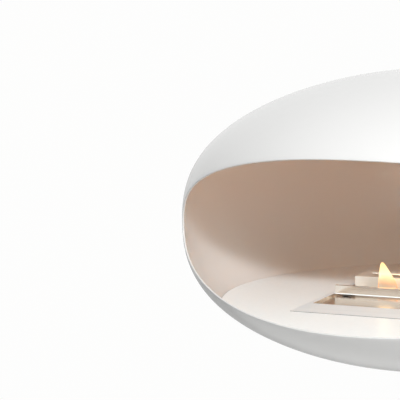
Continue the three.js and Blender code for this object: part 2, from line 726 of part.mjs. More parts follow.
// The plate, the socket and four gussets, welded into one bracket.
function ceilingBracket() {
  const underside = -PLATE_THICKNESS;
  const socketBottom = underside - SOCKET_LENGTH;
  let body = solid(rod(PLATE_RADIUS, underside, 0, ROUND_SIDES));
  body = body.add(solid(rod(SOCKET_RADIUS, socketBottom, underside + GAP, ROUND_SIDES)));
  const rib = new THREE.Shape();
  const inner = SOCKET_RADIUS - SOCKET_WALL / 2;
  rib.moveTo(inner, underside + GAP);
  rib.lineTo(inner, underside - GUSSET_DROP);
  rib.lineTo(SOCKET_RADIUS + SOCKET_WALL, underside - GUSSET_DROP);
  rib.lineTo(SOCKET_RADIUS + GUSSET_REACH, underside + GAP);
  rib.closePath();
  for (let i = 0; i < GUSSET_COUNT; i++) {
    const gusset = extruded(rib, -GUSSET_THICKNESS / 2, GUSSET_THICKNESS)
      .rotateX(Math.PI / 2)
      .rotateZ(((i + 0.5) * 2 * Math.PI) / GUSSET_COUNT);
    body = body.add(solid(gusset));
  }
  body = body.subtract(solid(rod(SOCKET_BORE, socketBottom - SPARE, underside, ROUND_SIDES)));
  body = body.subtract(solid(crossDrill(CROSS_BOLT_RADIUS + BOLT_HOLE_CLEARANCE)));
  for (let i = 0; i < ANCHOR_COUNT; i++) {
    const angle = (2 * Math.PI * i) / ANCHOR_COUNT;
    const hole = rod(ANCHOR_RADIUS, underside - SPARE, SPARE);
    hole.translate(ANCHOR_CIRCLE * Math.cos(angle), ANCHOR_CIRCLE * Math.sin(angle), 0);
    body = body.subtract(solid(hole));
  }
  return piece("ceiling_bracket", geometryOf(body), darkSteel);
}

function suspensionTube() {
  const tube = ring(TUBE_RADIUS - TUBE_WALL, TUBE_RADIUS, TUBE_BOTTOM, TUBE_TOP);
  const drilled = cut(tube, crossDrill(CROSS_BOLT_RADIUS + BOLT_HOLE_CLEARANCE));
  return piece("suspension_tube", drilled, stainless);
}

// The disc welded to the foot of the tube, which carries the hub.
function tubeFoot() {
  const bottom = FOOT_TOP - FOOT_THICKNESS;
  return piece("tube_foot", ring(TUBE_RADIUS - TUBE_WALL, FOOT_RADIUS, bottom, FOOT_TOP), darkSteel);
}

// The bronze washer between the foot and the hub's lip.
function thrustWasher() {
  const bottom = FOOT_TOP + GAP;
  const inner = TUBE_RADIUS + SLIDE_GAP;
  return piece("thrust_washer", ring(inner, FOOT_RADIUS, bottom, bottom + WASHER_THICKNESS), bronze);
}

function crossBolt() {
  const seat = SOCKET_RADIUS + GAP;
  const headHeight = CROSS_BOLT_RADIUS * HEX_HEAD_HEIGHT;
  const nutLength = 1.5 * headHeight;
  const shankEnd = seat + nutLength + headHeight / 2;
  const shank = rod(CROSS_BOLT_RADIUS, -seat - headHeight / 2, shankEnd);
  const head = hexPrism(CROSS_BOLT_RADIUS, -seat - headHeight, -seat);
  const bolt = piece("cross_bolt", join(head, shank).rotateY(Math.PI / 2), stainless);
  const nutSolid = hexPrism(CROSS_BOLT_RADIUS, seat, seat + nutLength);
  const bore = rod(CROSS_BOLT_RADIUS + GAP, seat - SPARE, seat + nutLength + SPARE);
  const nut = piece("cross_nut", cut(nutSolid, bore).rotateY(Math.PI / 2), stainless);
  bolt.position.z = -CROSS_BOLT_DROP;
  nut.position.z = -CROSS_BOLT_DROP;
  return [bolt, nut];
}

// The canopy: a thin bell that closes on the tube, open towards the ceiling.
function ceilingCanopy() {
  const bore = TUBE_RADIUS + SLIDE_GAP;
  const skin = (inwards) => {
    const line = [];
    for (let i = 0; i <= CANOPY_STEPS; i++) {
      const angle = ((Math.PI / 2) * i) / CANOPY_STEPS;
      const radius = CANOPY_RADIUS - inwards;
      const drop = CANOPY_HEIGHT - inwards;
      const share = Math.sin(angle) ** (2 / POD_RISE_POWER);
      const spread = Math.cos(angle) ** (2 / POD_PLAN_POWER);
      line.push([bore + (radius - bore) * spread, -CANOPY_CEILING_GAP - drop * share]);
    }
    return line;
  };
  const outer = skin(0).reverse();
  const inner = skin(CANOPY_WALL);
  const profile = [...outer, ...inner, outer[0]];
  return piece("ceiling_canopy", turned(profile, CANOPY_SIDES), whiteLacquer);
}

// The set collar that holds the canopy up, with its grub screw.
function setCollar() {
  const top = -CANOPY_CEILING_GAP - CANOPY_HEIGHT - GAP;
  const bottom = top - COLLAR_HEIGHT;
  const inner = TUBE_RADIUS + SLIDE_GAP;
  const chamfer = COLLAR_CHAMFER;
  const profile = [
    [inner, bottom],
    [COLLAR_RADIUS - chamfer, bottom],
    [COLLAR_RADIUS, bottom + chamfer],
    [COLLAR_RADIUS, top - chamfer],
    [COLLAR_RADIUS - chamfer, top],
    [inner, top],
    [inner, bottom],
  ];
  const height = (top + bottom) / 2;
  const tap = rod(GRUB_RADIUS + GAP, 0, 2 * COLLAR_RADIUS).rotateX(-Math.PI / 2);
  const collar = cut(turned(profile), tap.translate(0, 0, height));
  const start = inner + GAP;
  const screw = rod(GRUB_RADIUS, start, COLLAR_RADIUS - GRUB_SINK);
  const key = rod(GRUB_RADIUS / 2, COLLAR_RADIUS - GRUB_KEY_DEPTH, COLLAR_RADIUS, HEX_SIDES);
  const grub = piece("grub_screw", cut(screw, key).rotateX(-Math.PI / 2), darkSteel);
  grub.position.z = height;
  return [piece("set_collar", collar, stainless), grub];
}

// ---- Assembly -----------------------------------------------------------------------------------

const fireplace = new THREE.Group();
fireplace.add(ceilingBracket(), suspensionTube(), tubeFoot(), thrustWasher(), ...crossBolt());
fireplace.add(ceilingCanopy(), ...setCollar());

const pod = new THREE.Group();
pod.position.z = POD_CENTRE;
pod.add(swivelHub(), guideBush(), backingPlate(), ...hubBolts());
pod.add(podShell(), hearthDeck(), deckRing(), burnerTray(), guardBar(), ...guardFeet());
pod.add(burnerPlate(), fuelReservoir(), ceramicAbsorber(), ...lidRails());
pod.add(snufferLid(), ...lidHandle());
fireplace.add(pod);

export default fireplace;
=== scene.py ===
import math

import bmesh
import bpy
from mathutils import Matrix, Vector


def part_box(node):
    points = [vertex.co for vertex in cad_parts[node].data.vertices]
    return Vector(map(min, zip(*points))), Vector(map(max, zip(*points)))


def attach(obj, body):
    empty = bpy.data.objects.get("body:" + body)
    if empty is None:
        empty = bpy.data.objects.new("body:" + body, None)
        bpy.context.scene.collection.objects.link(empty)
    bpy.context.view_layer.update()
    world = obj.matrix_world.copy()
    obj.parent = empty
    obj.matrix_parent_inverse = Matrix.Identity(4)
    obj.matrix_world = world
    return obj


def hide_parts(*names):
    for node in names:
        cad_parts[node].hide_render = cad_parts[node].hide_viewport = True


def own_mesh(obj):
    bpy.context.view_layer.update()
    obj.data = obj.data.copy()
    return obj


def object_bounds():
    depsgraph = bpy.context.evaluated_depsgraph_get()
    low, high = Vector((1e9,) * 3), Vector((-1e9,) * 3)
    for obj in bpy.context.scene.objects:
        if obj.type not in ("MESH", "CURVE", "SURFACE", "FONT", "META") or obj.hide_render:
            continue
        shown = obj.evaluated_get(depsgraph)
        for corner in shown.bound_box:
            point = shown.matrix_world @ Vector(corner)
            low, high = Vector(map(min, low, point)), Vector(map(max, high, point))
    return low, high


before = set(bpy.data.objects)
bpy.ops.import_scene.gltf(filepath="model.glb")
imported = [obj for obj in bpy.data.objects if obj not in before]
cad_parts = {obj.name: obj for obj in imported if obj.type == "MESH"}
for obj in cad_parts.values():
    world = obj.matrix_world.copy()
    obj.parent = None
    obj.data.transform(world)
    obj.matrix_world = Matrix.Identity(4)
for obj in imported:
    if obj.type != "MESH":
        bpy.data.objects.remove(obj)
cad_low, cad_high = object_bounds()


# Ceiling bracket: a round plate with a welded socket and four gussets, which holds the tube.
# The tube's foot, the plate and ring inside the pod and the small screws share its finish:
# mild steel, zinc plated and passivated dark, which leaves it slightly cloudy.
def start_finish(name, colour, metallic, roughness):
    """Makes a material and returns it with its shader, which carries the constant values."""
    material = bpy.data.materials.new(name)
    material.use_nodes = True
    shader = material.node_tree.nodes["Principled BSDF"]
    shader.inputs["Base Color"].default_value = (*colour, 1)
    shader.inputs["Metallic"].default_value = metallic
    shader.inputs["Roughness"].default_value = roughness
    return material, shader


def add_node(tree, kind, values=None):
    """Places a node and sets the values of its inputs."""
    node = tree.nodes.new(kind)
    for name, value in (values or {}).items():
        node.inputs[name].default_value = value
    return node


def join(tree, *pairs):
    """Links outputs to inputs."""
    for output, entry in pairs:
        tree.links.new(output, entry)


def start_effect(name, inputs, outputs):
    """Makes a node group that starts from Object coordinates."""
    effect = bpy.data.node_groups.new(name, "ShaderNodeTree")
    for socket, kind in inputs.items():
        effect.interface.new_socket(socket, in_out="INPUT", socket_type=kind)
    for socket, kind in outputs.items():
        effect.interface.new_socket(socket, in_out="OUTPUT", socket_type=kind)
    given = effect.nodes.new("NodeGroupInput").outputs
    result = effect.nodes.new("NodeGroupOutput").inputs
    place = effect.nodes.new("ShaderNodeTexCoord").outputs["Object"]
    return effect, given, result, place


def add_effect(material, effect, values):
    """Places a node group in a material and feeds the shader from outputs of the same names."""
    tree = material.node_tree
    group = tree.nodes.new("ShaderNodeGroup")
    group.node_tree = effect
    for name, value in values.items():
        group.inputs[name].default_value = value
    for output in group.outputs:
        tree.links.new(output, tree.nodes["Principled BSDF"].inputs[output.name])


COLOUR, NUMBER, VECTOR = "NodeSocketColor", "NodeSocketFloat", "NodeSocketVector"

cloudy, given, result, place = start_effect(
    "cloudy_surface",
    {"Dark": COLOUR, "Light": COLOUR, "Size": NUMBER, "Smooth": NUMBER, "Rough": NUMBER},
    {"Base Color": COLOUR, "Roughness": NUMBER, "Normal": VECTOR},
)
cloud = add_node(cloudy, "ShaderNodeTexNoise", {"Detail": 5})
cloud_contrast = add_node(cloudy, "ShaderNodeMapRange", {"From Min": 0.35, "From Max": 0.65})
cloud_colour = add_node(cloudy, "ShaderNodeMix")
cloud_colour.data_type = "RGBA"
cloud_shine = add_node(cloudy, "ShaderNodeMapRange")
cloud_bump = add_node(cloudy, "ShaderNodeBump", {"Strength": 0.12, "Distance": 0.0003})
join(
    cloudy,
    (place, cloud.inputs["Vector"]),
    (given["Size"], cloud.inputs["Scale"]),
    (cloud.outputs["Fac"], cloud_contrast.inputs["Value"]),
    (cloud_contrast.outputs["Result"], cloud_colour.inputs["Factor"]),
    (given["Dark"], cloud_colour.inputs["A"]),
    (given["Light"], cloud_colour.inputs["B"]),
    (cloud_colour.outputs["Result"], result["Base Color"]),
    (cloud.outputs["Fac"], cloud_shine.inputs["Value"]),
    (given["Smooth"], cloud_shine.inputs["To Min"]),
    (given["Rough"], cloud_shine.inputs["To Max"]),
    (cloud_shine.outputs["Result"], result["Roughness"]),
    (cloud.outputs["Fac"], cloud_bump.inputs["Height"]),
    (cloud_bump.outputs["Normal"], result["Normal"]),
)

dark_steel, dark_steel_shader = start_finish("dark_steel", (0.12, 0.12, 0.125), 0.9, 0.5)
add_effect(dark_steel, cloudy, {
    "Dark": (0.085, 0.085, 0.09, 1),
    "Light": (0.17, 0.17, 0.178, 1),
    "Size": 55,
    "Smooth": 0.36,
    "Rough": 0.6,
})

sharp_fold = math.radians(25)
round_off = bpy.data.node_groups.new("round_off", "GeometryNodeTree")
for way in ("INPUT", "OUTPUT"):
    round_off.interface.new_socket("Geometry", in_out=way, socket_type="NodeSocketGeometry")
facets = add_node(round_off, "NodeGroupInput")
joined = add_node(round_off, "GeometryNodeMergeByDistance", {"Distance": 0.00001})
all_smooth = add_node(round_off, "GeometryNodeSetShadeSmooth")
fold = add_node(round_off, "GeometryNodeInputMeshEdgeAngle")
is_flat = add_node(round_off, "FunctionNodeCompare", {"B": sharp_fold})
is_flat.operation = "LESS_THAN"
sharp_folds = add_node(round_off, "GeometryNodeSetShadeSmooth")
sharp_folds.domain = "EDGE"
rounded = add_node(round_off, "NodeGroupOutput")
join(
    round_off,
    (facets.outputs["Geometry"], joined.inputs["Geometry"]),
    (joined.outputs["Geometry"], all_smooth.inputs["Geometry"]),
    (all_smooth.outputs["Geometry"], sharp_folds.inputs["Geometry"]),
    (fold.outputs["Unsigned Angle"], is_flat.inputs["A"]),
    (is_flat.outputs["Result"], sharp_folds.inputs["Shade Smooth"]),
    (sharp_folds.outputs["Geometry"], rounded.inputs["Geometry"]),
)


def coat(names, material):
    """Gives pieces taken over from the frame their finish, with their turned faces smooth."""
    for name in names:
        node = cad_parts[name]
        node.data.materials.clear()
        node.data.materials.append(material)
        node.modifiers.new("round_off", "NODES").node_group = round_off


coat(["ceiling_bracket", "tube_foot", "backing_plate", "deck_ring", "grub_screw"], dark_steel)
coat(["guard_foot_left", "guard_foot_right"], dark_steel)


# Canopy: a bell spun from thin steel sheet, which hides the bracket and closes on the tube.
# It is coated like the pod: white gloss powder, baked on, with its faint orange peel.
orange_peel, given, result, place = start_effect(
    "orange_peel", {}, {"Roughness": NUMBER, "Normal": VECTOR}
)
peel_fine = add_node(orange_peel, "ShaderNodeTexNoise", {"Scale": 260, "Detail": 2})
peel_wide = add_node(orange_peel, "ShaderNodeTexNoise", {"Scale": 9})
peel_shine = add_node(orange_peel, "ShaderNodeMapRange", {"To Min": 0.2, "To Max": 0.28})
peel_bump = add_node(orange_peel, "ShaderNodeBump", {"Strength": 0.05, "Distance": 0.0004})
join(
    orange_peel,
    (place, peel_fine.inputs["Vector"]),
    (place, peel_wide.inputs["Vector"]),
    (peel_wide.outputs["Fac"], peel_shine.inputs["Value"]),
    (peel_shine.outputs["Result"], result["Roughness"]),
    (peel_fine.outputs["Fac"], peel_bump.inputs["Height"]),
    (peel_bump.outputs["Normal"], result["Normal"]),
)

white_lacquer, lacquer_shader = start_finish("white_lacquer", (0.79, 0.79, 0.782), 0, 0.24)
lacquer_shader.inputs["Coat Weight"].default_value = 0.35
lacquer_shader.inputs["Coat Roughness"].default_value = 0.08
add_effect(white_lacquer, orange_peel, {})


def turned(profile, sides):
    """Spins a closed profile of radii and heights once round the tube's line."""
    mesh = bmesh.new()
    points = [mesh.verts.new((radius, 0, height)) for radius, height in profile]
    lines = [mesh.edges.new(pair) for pair in zip(points, points[1:] + points[:1])]
    bmesh.ops.spin(
        mesh, geom=points + lines, cent=(0, 0, 0), axis=(0, 0, 1), dvec=(0, 0, 0),
        angle=2 * math.pi, steps=sides, use_merge=True,
    )
    bmesh.ops.remove_doubles(mesh, verts=mesh.verts, dist=0.00001)
    bmesh.ops.recalc_face_normals(mesh, faces=mesh.faces)
    return mesh


def finished(name, mesh, *materials):
    """Makes an object of a mesh, with smooth faces."""
    for face in mesh.faces:
        face.smooth = True
    data = bpy.data.meshes.new(name)
    mesh.to_mesh(data)
    mesh.free()
    for material in materials:
        data.materials.append(material)
    piece = bpy.data.objects.new(name, data)
    bpy.context.scene.collection.objects.link(piece)
    return piece


def ease_edges(piece, width, segments=3, angle=28, flat_faces=True):
    """Rounds the sharp edges of a piece and, as a rule, keeps its flat faces flat."""
    edge = piece.modifiers.new("eased_edges", "BEVEL")
    edge.width = width
    edge.segments = segments
    edge.limit_method = "ANGLE"
    edge.angle_limit = math.radians(angle)
    edge.harden_normals = flat_faces


plan_power = 1.75
rise_power = 2.465
canopy_bore = 0.02465
canopy_radius = 0.112
canopy_height = 0.078
canopy_sheet = 0.0015
canopy_top = cad_high.z - 0.001
canopy_steps = 24
canopy_sides = 128


def canopy_line(inwards):
    """The bell's profile, the same curve as the pod's, set in by the thickness of the sheet."""
    line = []
    for step in range(canopy_steps + 1):
        angle = math.pi / 2 * step / canopy_steps
        spread = math.cos(angle) ** (2 / plan_power)
        share = math.sin(angle) ** (2 / rise_power)
        radius = canopy_bore + (canopy_radius - inwards - canopy_bore) * spread
        line.append((radius, canopy_top - (canopy_height - inwards) * share))
    return line


canopy_mesh = turned(canopy_line(0) + canopy_line(canopy_sheet)[::-1], canopy_sides)
canopy = finished("spun_canopy", canopy_mesh, white_lacquer)
ease_edges(canopy, 0.0004)
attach(canopy, "ceiling_fitting")
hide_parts("ceiling_canopy")


# Suspension tube: drawn stainless steel, polished lengthwise with a fine belt. The collar under
# the canopy and the bolts are turned from the same steel, and keep their own brushed look.
brushed, given, result, place = start_effect(
    "brushed_grain",
    {"Grain": VECTOR, "Dark": COLOUR, "Light": COLOUR, "Smooth": NUMBER, "Rough": NUMBER},
    {"Base Color": COLOUR, "Roughness": NUMBER, "Normal": VECTOR},
)
grain_stretch = add_node(brushed, "ShaderNodeMapping")
grain = add_node(brushed, "ShaderNodeTexNoise", {"Scale": 1, "Detail": 3})
grain_colour = add_node(brushed, "ShaderNodeMix")
grain_colour.data_type = "RGBA"
grain_shine = add_node(brushed, "ShaderNodeMapRange")
grain_bump = add_node(brushed, "ShaderNodeBump", {"Strength": 0.06, "Distance": 0.0002})
join(
    brushed,
    (place, grain_stretch.inputs["Vector"]),
    (given["Grain"], grain_stretch.inputs["Scale"]),
    (grain_stretch.outputs["Vector"], grain.inputs["Vector"]),
    (grain.outputs["Fac"], grain_colour.inputs["Factor"]),
    (given["Dark"], grain_colour.inputs["A"]),
    (given["Light"], grain_colour.inputs["B"]),
    (grain_colour.outputs["Result"], result["Base Color"]),
    (grain.outputs["Fac"], grain_shine.inputs["Value"]),
    (given["Smooth"], grain_shine.inputs["To Min"]),
    (given["Rough"], grain_shine.inputs["To Max"]),
    (grain_shine.outputs["Result"], result["Roughness"]),
    (grain.outputs["Fac"], grain_bump.inputs["Height"]),
    (grain_bump.outputs["Normal"], result["Normal"]),
)

tube_steel, tube_steel_shader = start_finish("tube_steel", (0.74, 0.73, 0.715), 1, 0.28)
add_effect(tube_steel, brushed, {
    "Grain": (1400, 1400, 5),
    "Dark": (0.7, 0.69, 0.675, 1),
    "Light": (0.8, 0.79, 0.775, 1),
    "Smooth": 0.2,
    "Rough": 0.36,
})
tube_low, tube_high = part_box("suspension_tube")
tube_radius = tube_high.x
tube_wall = 0.0026
tube_bore = tube_radius - tube_wall
tube_sides = 96
tube_mesh = turned([
    (tube_bore, tube_low.z),
    (tube_radius, tube_low.z),
    (tube_radius, tube_high.z),
    (tube_bore, tube_high.z),
], tube_sides)
tube = finished("drawn_tube", tube_mesh, tube_steel)
ease_edges(tube, 0.0004)
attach(tube, "ceiling_fitting")
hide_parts("suspension_tube")

turned_steel, turned_steel_shader = start_finish("turned_steel", (0.72, 0.71, 0.7), 1, 0.3)
add_effect(turned_steel, brushed, {
    "Grain": (30, 30, 2200),
    "Dark": (0.66, 0.655, 0.645, 1),
    "Light": (0.78, 0.775, 0.765, 1),
    "Smooth": 0.2,
    "Rough": 0.38,
})
coat(["set_collar", "cross_bolt", "cross_nut"], turned_steel)
coat([f"hub_bolt_{i}" for i in range(1, 5)], turned_steel)
coat([f"hub_nut_{i}" for i in range(1, 5)], turned_steel)


# Swivel hub: a steel cup turned from bar, bolted through the crown, which turns on the tube's
# foot. Its flange follows the dome. A bronze washer and a nylon bush keep steel off steel.
shell_low, shell_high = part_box("pod_shell")
shell_radius = shell_high.x
shell_height = 0.282
pod_z = shell_low.z + shell_height


def crown_height(radius):
    """Height of the pod's outer skin above a place on its top."""
    return pod_z + shell_height * (1 - (radius / shell_radius) ** plan_power) ** (1 / rise_power)


hub_low, hub_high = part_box("swivel_hub")
hub_radius = 0.038
hub_cavity = 0.0335
hub_lip = 0.008
hub_neck = 0.02915
hub_sides = 112
flange_radius = 0.052
flange_top = pod_z + shell_height + 0.005
flange_fillet = 0.002
flange_bed = 0.0003
flange_steps = 6
flange_line = []
for step in range(flange_steps + 1):
    radius = hub_radius + (flange_radius - hub_radius) * step / flange_steps
    flange_line.append((radius, crown_height(radius) + flange_bed))
hub_mesh = turned([
    (hub_cavity, hub_low.z),
    (hub_radius, hub_low.z),
    *flange_line,
    (flange_radius, flange_top),
    (hub_radius + flange_fillet, flange_top),
    (hub_radius, flange_top + flange_fillet),
    (hub_radius, hub_high.z),
    (hub_neck, hub_high.z),
    (hub_neck, hub_high.z - hub_lip),
    (hub_cavity, hub_high.z - hub_lip),
], hub_sides)
hub = finished("turned_hub", hub_mesh, turned_steel)
ease_edges(hub, 0.0012)
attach(hub, "pod")
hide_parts("swivel_hub")

bronze, bronze_shader = start_finish("bronze", (0.5, 0.33, 0.15), 1, 0.35)
add_effect(bronze, cloudy, {
    "Dark": (0.4, 0.25, 0.11, 1),
    "Light": (0.58, 0.39, 0.19, 1),
    "Size": 90,
    "Smooth": 0.28,
    "Rough": 0.45,
})
nylon, nylon_shader = start_finish("nylon", (0.7, 0.69, 0.65), 0, 0.5)
nylon_shader.inputs["Subsurface Weight"].default_value = 0.1
nylon_shader.inputs["Subsurface Radius"].default_value = (0.002, 0.0018, 0.0015)
add_effect(nylon, cloudy, {
    "Dark": (0.66, 0.65, 0.61, 1),
    "Light": (0.74, 0.73, 0.69, 1),
    "Size": 140,
    "Smooth": 0.42,
    "Rough": 0.56,
})
coat(["thrust_washer"], bronze)
coat(["guide_bush"], nylon)


# Pod shell: two spun steel bowls welded at the equator and ground smooth, 3 mm thick, the mouth
# laser-cut and its edge rounded, lacquered white inside and out.
mouth_half_width = 0.4055
mouth_half_height = 0.1534
mouth_power = 2.2
crown_bore = 0.044
shell_sheet = 0.003
shell_round = 240
shell_front_rows = 30
shell_back_rows = 60


def oval_point(half_width, half_height, width_power, height_power, across, up):
    """A place on an oval, for the cosine and sine of the turn round it."""
    return (
        half_width * math.copysign(abs(across) ** (2 / width_power), across),
        half_height * math.copysign(abs(up) ** (2 / height_power), up),
    )


shell_mesh = bmesh.new()
shell_rows = []
for row in range(shell_front_rows + shell_back_rows):
    points = []
    for step in range(shell_round):
        turn = 2 * math.pi * step / shell_round
        across, up = math.cos(turn), math.sin(turn)
        edge_x, edge_z = oval_point(
            mouth_half_width, mouth_half_height, mouth_power, mouth_power, across, up
        )
        side_x, side_z = oval_point(
            shell_radius, shell_height, plan_power, rise_power, across, up
        )
        if row <= shell_front_rows:
            share = 1 - (1 - row / shell_front_rows) ** 2
            x = edge_x + (side_x - edge_x) * share
            z = edge_z + (side_z - edge_z) * share
            front = -1
        else:
            share = math.cos(math.pi / 2 * (row - shell_front_rows) / shell_back_rows)
            x, z = side_x * share, side_z * share
            front = 1
        fall = max(0, 1 - (abs(z) / shell_height) ** rise_power)
        radius = shell_radius * fall ** (1 / plan_power)
        y = max(shell_low.y, front * math.sqrt(max(0, radius ** 2 - x ** 2)))
        points.append(shell_mesh.verts.new((x, y, pod_z + z)))
    shell_rows.append(points)
for before, after in zip(shell_rows, shell_rows[1:]):
    for step in range(shell_round):
        following = (step + 1) % shell_round
        shell_mesh.faces.new((before[step], before[following], after[following], after[step]))
shell_mesh.faces.new(shell_rows[-1])
bmesh.ops.recalc_face_normals(shell_mesh, faces=shell_mesh.faces)
crown_hole = []
for face in shell_mesh.faces:
    middle = face.calc_center_median()
    if middle.z > pod_z and middle.xy.length < crown_bore:
        crown_hole.append(face)
bmesh.ops.delete(shell_mesh, geom=crown_hole, context="FACES")
shell = finished("spun_shell", shell_mesh, white_lacquer)


def thicken(piece, thickness):
    """Makes a sheet of a surface, on its inner side."""
    wall = piece.modifiers.new("wall", "SOLIDIFY")
    wall.thickness = thickness
    wall.offset = -1
    wall.use_even_offset = True


thicken(shell, shell_sheet)
ease_edges(shell, 0.0009, segments=2, angle=50, flat_faces=False)
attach(shell, "pod")
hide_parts("pod_shell")


# Hearth deck: a round steel floor laid on a ring inside the pod, enamelled white like the
# shell, in a harder and slightly duller coat that stands the heat.
hearth_white, hearth_shader = start_finish("hearth_white", (0.82, 0.82, 0.812), 0, 0.5)
add_effect(hearth_white, cloudy, {
    "Dark": (0.805, 0.805, 0.797, 1),
    "Light": (0.835, 0.835, 0.827, 1),
    "Size": 160,
    "Smooth": 0.3,
    "Rough": 0.4,
})


def pulled_out(mesh, faces, way):
    """Draws faces out into a solid."""
    drawn = bmesh.ops.extrude_face_region(mesh, geom=faces)
    far_points = [part for part in drawn["geom"] if isinstance(part, bmesh.types.BMVert)]
    bmesh.ops.translate(mesh, verts=far_points, vec=way)
    bmesh.ops.recalc_face_normals(mesh, faces=mesh.faces)


deck_low, deck_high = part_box("hearth_deck")
deck_mesh = bmesh.new()
bmesh.ops.create_circle(
    deck_mesh, cap_ends=True, radius=deck_high.x, segments=256,
    matrix=Matrix.Translation((0, 0, deck_low.z)),
)
pulled_out(deck_mesh, deck_mesh.faces[:], (0, 0, deck_high.z - deck_low.z))
deck = finished("enamelled_deck", deck_mesh, hearth_white)
ease_edges(deck, 0.0006)
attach(deck, "pod")
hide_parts("hearth_deck")


# Burner tray: one sheet of stainless steel folded up to a ridge and down to a shallow pan, its
# corners mitred and welded. The sloping frame is satin, the pan is brushed nearly to a mirror.
satin_steel, satin_steel_shader = start_finish("satin_steel", (0.8, 0.8, 0.795), 0.4, 0.5)
add_effect(satin_steel, brushed, {
    "Grain": (5, 320, 320),
    "Dark": (0.74, 0.75, 0.755, 1),
    "Light": (0.87, 0.88, 0.885, 1),
    "Smooth": 0.4,
    "Rough": 0.54,
})
# The pan steel's taupe base colour and grain are a painted reflection of the shaded inside of
# the pod, added to what the mirror-like pan really reflects.
pan_steel, pan_steel_shader = start_finish("pan_steel", (0.67, 0.57, 0.47), 1, 0.2)
add_effect(pan_steel, brushed, {
    "Grain": (5, 700, 700),
    "Dark": (0.63, 0.54, 0.45, 1),
    "Light": (0.73, 0.63, 0.53, 1),
    "Smooth": 0.12,
    "Rough": 0.27,
})
tray_low, tray_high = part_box("burner_tray")
tray_gap = 0.0004
tray_lip = 0.0013
tray_slope = 0.0305
tray_ridge = 0.0015
tray_sheet = 0.0012
pan_depth = 0.004
pan_margin = 0.005
well_half_width = 0.143
well_half_depth = 0.067
well_flange = 0.007
tray_foot = tray_low.z + tray_gap
tray_mesh = bmesh.new()
tray_face = tray_mesh.faces.new([
    tray_mesh.verts.new((x, y, tray_foot))
    for x, y in (
        (tray_low.x, tray_low.y),
        (tray_high.x, tray_low.y),
        (tray_high.x, tray_high.y),
        (tray_low.x, tray_high.y),
    )
])


def fold_inwards(inwards, upwards):
    """Folds the next strip of the tray, which leaves its middle face smaller and moved."""
    bmesh.ops.inset_region(
        tray_mesh, faces=[tray_face], thickness=inwards, depth=upwards,
        use_boundary=True, use_even_offset=True,
    )


fold_inwards(0, tray_lip)
fold_inwards(tray_slope, tray_high.z - tray_low.z - tray_gap - tray_lip)
fold_inwards(tray_ridge, 0)
fold_inwards(0, -pan_depth)
fold_inwards(pan_margin, 0)
for point in tray_face.verts:
    point.co.x = math.copysign(well_half_width, point.co.x)
    point.co.y = math.copysign(well_half_depth, point.co.y)
fold_inwards(0, -well_flange)
bmesh.ops.delete(tray_mesh, geom=[tray_face], context="FACES_ONLY")
ridge_x = tray_high.x - tray_slope - tray_ridge / 2
ridge_y = tray_high.y - tray_slope - tray_ridge / 2
for face in tray_mesh.faces:
    middle = face.calc_center_median()
    in_pan = abs(middle.x) < ridge_x and abs(middle.y) < ridge_y
    # The low upright faces of the lip round the tray's foot get the dark steel: a painted shadow
    # line under the tray's edge, not a darkened cut edge.
    on_shadow_line_lip = middle.z < tray_foot + tray_lip and abs(face.normal.z) < 0.1
    face.material_index = 1 if in_pan else 2 if on_shadow_line_lip else 0
tray = finished("folded_tray", tray_mesh, satin_steel, pan_steel, dark_steel)
thicken(tray, tray_sheet)
ease_edges(tray, 0.0005)
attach(tray, "pod")
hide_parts("burner_tray")


# Guard bar: a folded channel across the pan in front of the flames, with its lower edge turned
# out. It stands on two small feet and shows the brushed sheet's long streaks.
sheet_steel, sheet_steel_shader = start_finish("sheet_steel", (0.78, 0.765, 0.745), 1, 0.2)
add_effect(sheet_steel, brushed, {
    "Grain": (5, 700, 700),
    "Dark": (0.8, 0.745, 0.68, 1),
    "Light": (0.89, 0.835, 0.765, 1),
    "Smooth": 0.12,
    "Rough": 0.27,
})
bar_low, bar_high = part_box("guard_bar")
bar_sheet = 0.0015
bar_lip = 0.0015
bar_back_height = 0.01
bar_face = bar_low.y + bar_lip
bar_mesh = bmesh.new()
bar_end = bar_mesh.faces.new([
    bar_mesh.verts.new((bar_low.x, y, z))
    for y, z in (
        (bar_face, bar_low.z + bar_lip),
        (bar_low.y, bar_low.z),
        (bar_face + bar_sheet, bar_low.z),
        (bar_face + bar_sheet, bar_high.z - bar_sheet),
        (bar_high.y - bar_sheet, bar_high.z - bar_sheet),
        (bar_high.y - bar_sheet, bar_high.z - bar_back_height),
        (bar_high.y, bar_high.z - bar_back_height),
        (bar_high.y, bar_high.z),
        (bar_face, bar_high.z),
    )
])
pulled_out(bar_mesh, [bar_end], (bar_high.x - bar_low.x, 0, 0))
# The upward faces of the turned-out lip get the paler satin finish so that the bar's lower edge
# shows as a bright line: a painted highlight.
for face in bar_mesh.faces:
    on_highlight_lip = face.calc_center_median().z < bar_low.z + bar_lip
    face.material_index = int(face.normal.z > 0.5 and on_highlight_lip)
bar = finished("folded_bar", bar_mesh, sheet_steel, satin_steel)
ease_edges(bar, 0.0005)
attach(bar, "pod")
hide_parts("guard_bar")


# Burner: a flat stainless plate with the fire slot over a welded fuel box, which is filled with
# ceramic fibre that soaks up the fuel. The fibre is felted, off-white and scorched a little.
coat(["burner_plate", "fuel_reservoir"], sheet_steel)
fibre, fibre_shader = start_finish("fibre", (0.72, 0.69, 0.62), 0, 0.95)
add_effect(fibre, cloudy, {
    "Dark": (0.42, 0.38, 0.32, 1),
    "Light": (0.76, 0.73, 0.66, 1),
    "Size": 240,
    "Smooth": 0.9,
    "Rough": 1,
})
coat(["ceramic_absorber"], fibre)


# Lid rails: two square stainless strips, screwed to the plate from below, that guide the lid.
# They are ground from bar and their edges are broken by hand.
def block(low, high):
    """A solid block between two corners."""
    mesh = bmesh.new()
    middle = (low + high) / 2
    size = high - low
    bmesh.ops.create_cube(
        mesh, size=1, matrix=Matrix.Translation(middle) @ Matrix.Diagonal((*size, 1))
    )
    return mesh


for side in ("left", "right"):
    rail = finished(f"ground_rail_{side}", block(*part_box(f"lid_rail_{side}")), sheet_steel)
    ease_edges(rail, 0.0006)
    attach(rail, "pod")
    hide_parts(f"lid_rail_{side}")


